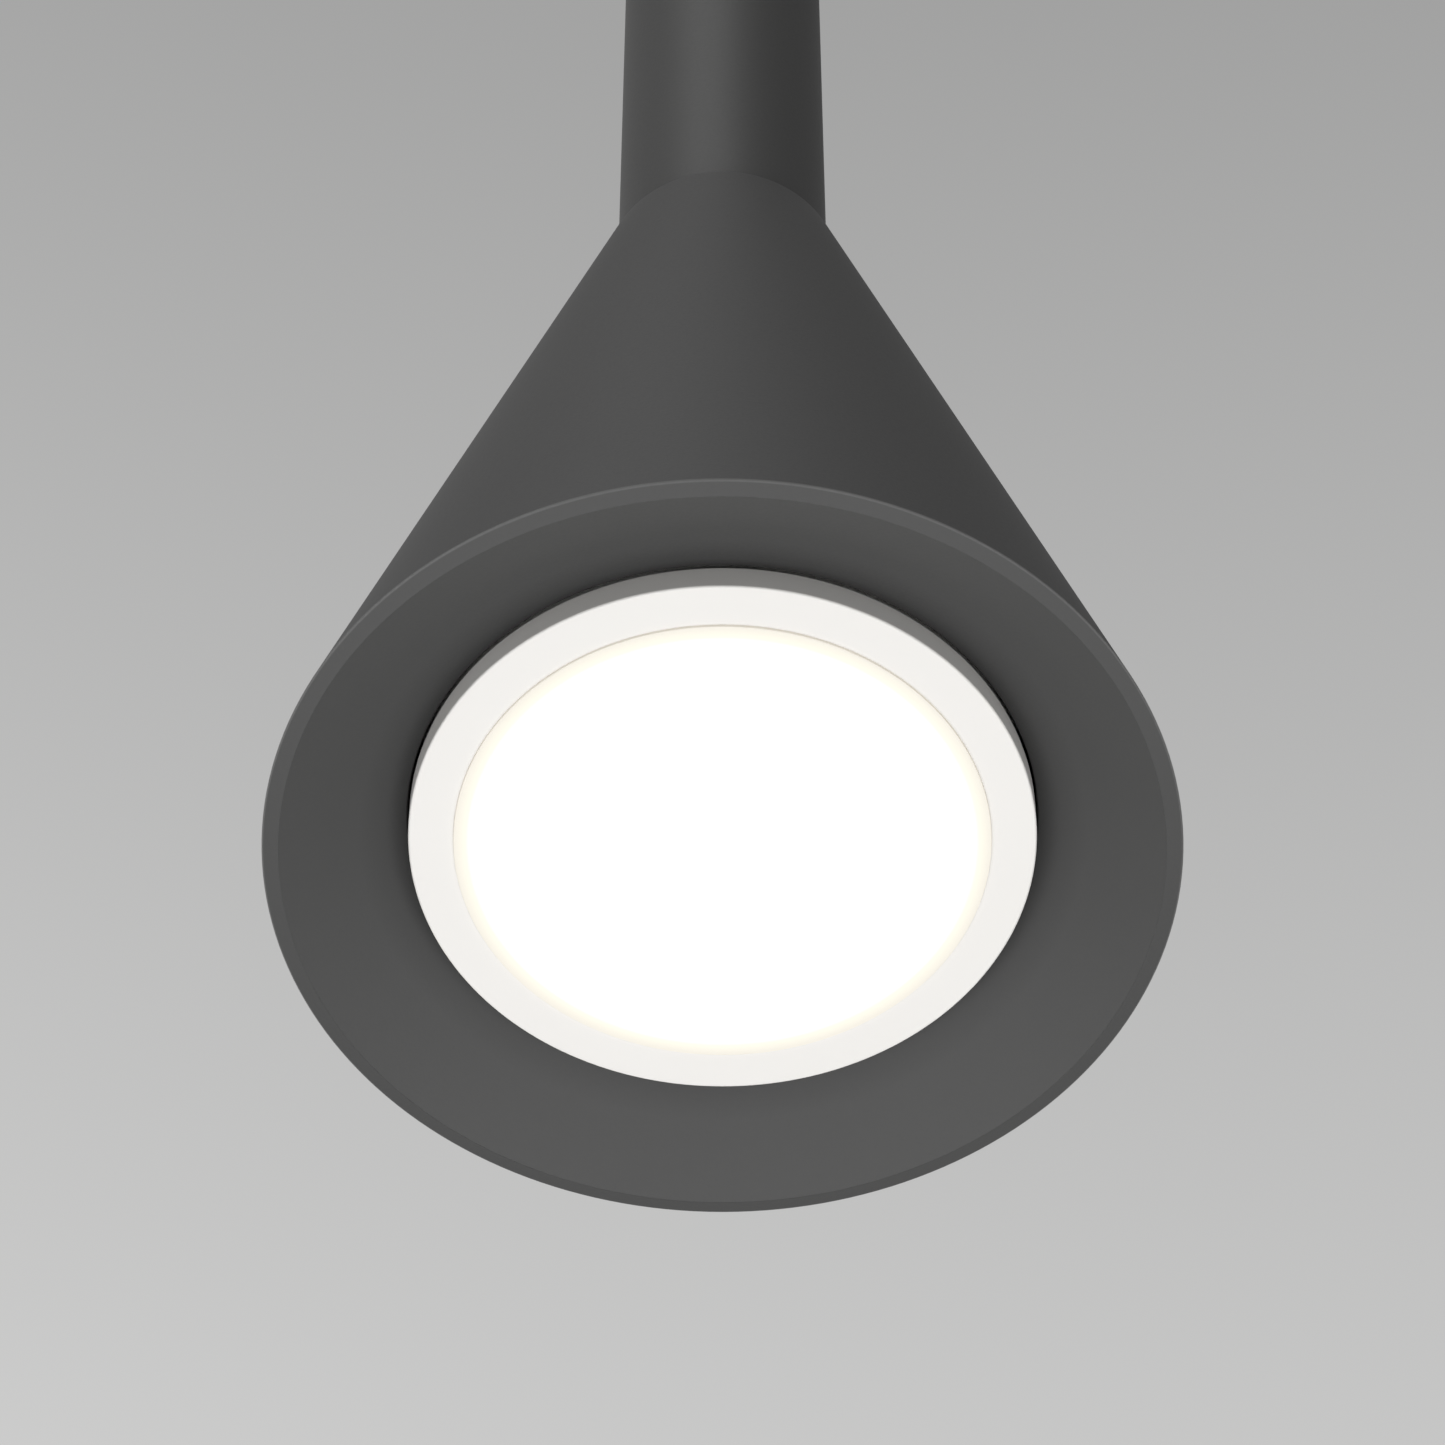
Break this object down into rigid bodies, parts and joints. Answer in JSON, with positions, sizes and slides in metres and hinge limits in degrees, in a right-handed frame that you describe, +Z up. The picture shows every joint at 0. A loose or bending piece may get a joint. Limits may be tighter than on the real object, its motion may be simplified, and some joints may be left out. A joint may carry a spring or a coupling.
{
  "type": "conical stem downlight",
  "caption": "Dark grey conical downlight on a round stem, with a ceiling canopy and bracket, a dished pan and a flush opal twist-lock puck lamp.",
  "frame": {"origin": "on the ceiling plane, on the stem's axis, at the middle of the bracket's two slots", "axes": "+Z up along the stem, into the ceiling; +X along the bracket's strap; +Y towards the terminal tab"},
  "size_m": [0.11, 0.11, 0.33],
  "materials": {
    "grey_coat": "matt dark grey powder coat",
    "zinc_steel": "zinc-plated pressed steel",
    "black_screw": "blackened steel screws",
    "screw_steel": "plated steel fasteners",
    "brass": "bare pressed and turned brass",
    "tag_tin": "tinned copper",
    "terminal_plastic": "natural moulded nylon",
    "holder_plastic": "white heat-resistant moulding",
    "grommet_rubber": "black rubber",
    "lamp_white": "white satin moulding",
    "opal": "opal diffuser, lit",
    "plate_aluminium": "plain aluminium sheet",
    "board_white": "white solder mask",
    "led_yellow": "phosphor-filled packages",
    "board_green": "glass-fibre board",
    "capacitor_sleeve": "dark shrink sleeve",
    "coil_ferrite": "ferrite and winding",
    "wire_brown": "brown insulation",
    "wire_blue": "blue insulation",
    "wire_green": "green insulation"
  },
  "bodies": {
    "fitting": {"shade": "grey_coat", "stem": "grey_coat", "upper_plug": "zinc_steel", "lower_plug": "zinc_steel", "upper_nipple": "zinc_steel", "lower_nipple": "zinc_steel", "upper_nut": "zinc_steel", "lower_nut": "zinc_steel", "lock_washer": "zinc_steel", "lower_washer": "zinc_steel", "shade_seat": "zinc_steel", "ceiling_bracket": "zinc_steel", "terminal_block": "terminal_plastic", "terminal_sleeves": "brass", "terminal_screws": "screw_steel", "block_screw": "screw_steel", "yoke": "zinc_steel", "pan": "grey_coat", "pan_screws": "screw_steel", "grommet": "grommet_rubber", "earth_tag": "tag_tin", "earth_screw": "screw_steel", "holder_body": "holder_plastic", "holder_cover": "holder_plastic", "holder_screws": "screw_steel", "holder_nuts": "screw_steel", "contact_live": "brass", "contact_neutral": "brass", "contact_rivets": "brass", "live_wire": "wire_brown", "neutral_wire": "wire_blue", "earth_wire": "wire_green"},
    "canopy_cup": {"canopy": "grey_coat", "canopy_screws": "black_screw"},
    "puck_lamp": {"lamp_ring": "lamp_white", "lamp_housing": "lamp_white", "lamp_diffuser": "opal", "lamp_heat_plate": "plate_aluminium", "lamp_led_board": "board_white", "lamp_leds": "led_yellow", "lamp_driver_board": "board_green", "driver_capacitor": "capacitor_sleeve", "driver_coil": "coil_ferrite", "lamp_pins": "brass"}
  },
  "joints": [
    {"name": "canopy_slide", "type": "slide", "parent": "fitting", "child": "canopy_cup", "axis": [0, 0, -1], "range_m": [0, 0.16]},
    {"name": "lamp_twist", "type": "hinge", "parent": "fitting", "child": "puck_lamp", "pos_m": [0, 0, -0.3099], "axis": [0, 0, -1], "range_deg": [0, 20]}
  ]
}
